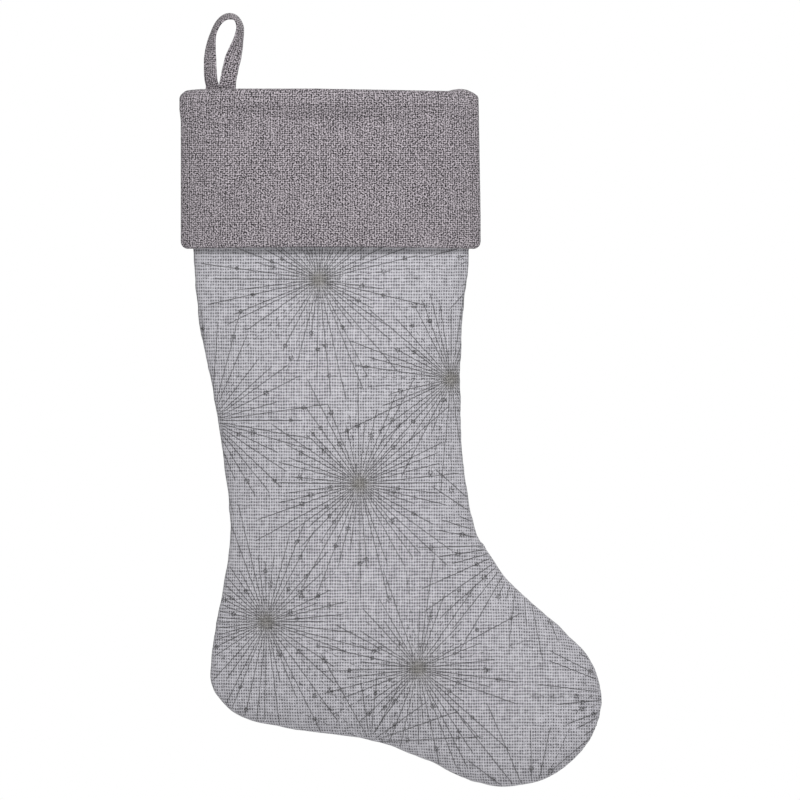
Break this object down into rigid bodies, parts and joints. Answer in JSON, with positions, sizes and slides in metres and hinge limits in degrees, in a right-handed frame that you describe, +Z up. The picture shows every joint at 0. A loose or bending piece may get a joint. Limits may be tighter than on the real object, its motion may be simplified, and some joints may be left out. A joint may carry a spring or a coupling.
{
  "type": "hanging stocking",
  "caption": "Hanging cloth stocking with a turned-down woven cuff, a lined leg and foot with starburst needlework, and a flat strap loop that swings at the rim.",
  "frame": {"origin": "the hook point, under the top of the hanging loop", "axes": "+X to the toe side, +Y to the back, +Z up; the front faces -Y"},
  "size_m": [0.2766, 0.042, 0.5063],
  "materials": {
    "leg_cloth": "open basket weave, pale silver grey, matte",
    "cuff_cloth": "heathered slub tweed, mauve grey, matte",
    "lining_cloth": "plain lining cloth, slightly smooth",
    "sewing_thread": "twisted sewing thread",
    "needlework": "fine taupe grey embroidery thread"
  },
  "bodies": {
    "loop": {"hanging_loop": "cuff_cloth"},
    "stocking": {"leg_front": "leg_cloth", "leg_back": "leg_cloth", "lining_front": "lining_cloth", "lining_back": "lining_cloth", "cuff_front": "cuff_cloth", "cuff_back": "cuff_cloth", "loop_tails": "cuff_cloth", "loop_tack": "sewing_thread", "leg_seam_thread": "sewing_thread", "lining_seam_thread": "sewing_thread", "mouth_seam_thread": "sewing_thread", "cuff_seam_heel": "sewing_thread", "cuff_seam_toe": "sewing_thread", "starburst_1": "needlework", "starburst_2": "needlework", "starburst_3": "needlework", "starburst_4": "needlework", "starburst_5": "needlework"}
  },
  "joints": [
    {"name": "stocking_swing", "type": "hinge", "parent": "loop", "child": "stocking", "pos_m": [-0.0066, 0, -0.044], "axis": [1, 0, 0], "range_deg": [-85, 85]}
  ]
}
